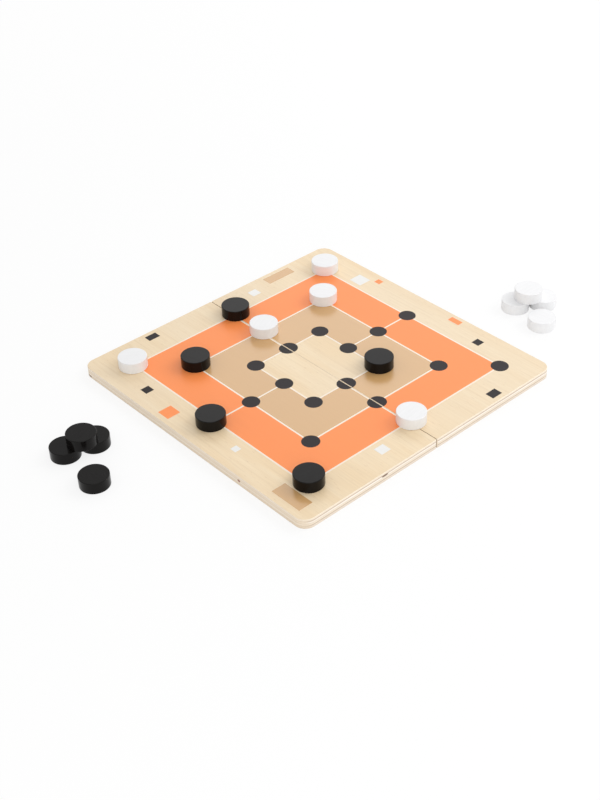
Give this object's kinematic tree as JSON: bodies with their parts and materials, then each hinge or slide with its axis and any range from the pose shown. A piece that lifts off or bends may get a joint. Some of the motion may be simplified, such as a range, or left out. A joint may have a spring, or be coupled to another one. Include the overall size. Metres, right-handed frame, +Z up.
{
  "type": "solitaire and mill board",
  "caption": "Square plywood game board in two halves, printed with a mill of three rings, with white and black round wooden discs on it and in small heaps beside it.",
  "frame": {"origin": "middle of the board's underside, on the seam between its two halves, at table height", "axes": "+X across the seam to the right half, +Y along the seam to the far edge, +Z up"},
  "size_m": [0.4614, 0.28, 0.0202],
  "materials": {
    "birch_plywood": "sanded and clear matt varnish",
    "orange_ink": "screen-printed, satin",
    "tan_ink": "screen-printed, satin",
    "white_ink": "screen-printed, satin",
    "black_ink": "screen-printed, satin",
    "white_lacquered_beech": "white lacquer, satin",
    "black_lacquered_beech": "black lacquer, satin"
  },
  "bodies": {
    "root": {"left_board": "birch_plywood", "right_board": "birch_plywood", "left_orange_print": "orange_ink", "left_tan_print": "tan_ink", "left_white_print": "white_ink", "left_black_print": "black_ink", "right_orange_print": "orange_ink", "right_tan_print": "tan_ink", "right_white_print": "white_ink", "right_black_print": "black_ink", "left_solitaire_points": "black_ink", "right_solitaire_points": "black_ink", "white_disc_1": "white_lacquered_beech", "white_disc_2": "white_lacquered_beech", "white_disc_3": "white_lacquered_beech", "white_disc_4": "white_lacquered_beech", "white_disc_5": "white_lacquered_beech", "white_disc_6": "white_lacquered_beech", "white_disc_7": "white_lacquered_beech", "white_disc_8": "white_lacquered_beech", "white_disc_9": "white_lacquered_beech", "black_disc_1": "black_lacquered_beech", "black_disc_2": "black_lacquered_beech", "black_disc_3": "black_lacquered_beech", "black_disc_4": "black_lacquered_beech", "black_disc_5": "black_lacquered_beech", "black_disc_6": "black_lacquered_beech", "black_disc_7": "black_lacquered_beech", "black_disc_8": "black_lacquered_beech", "black_disc_9": "black_lacquered_beech"}
  },
  "joints": []
}
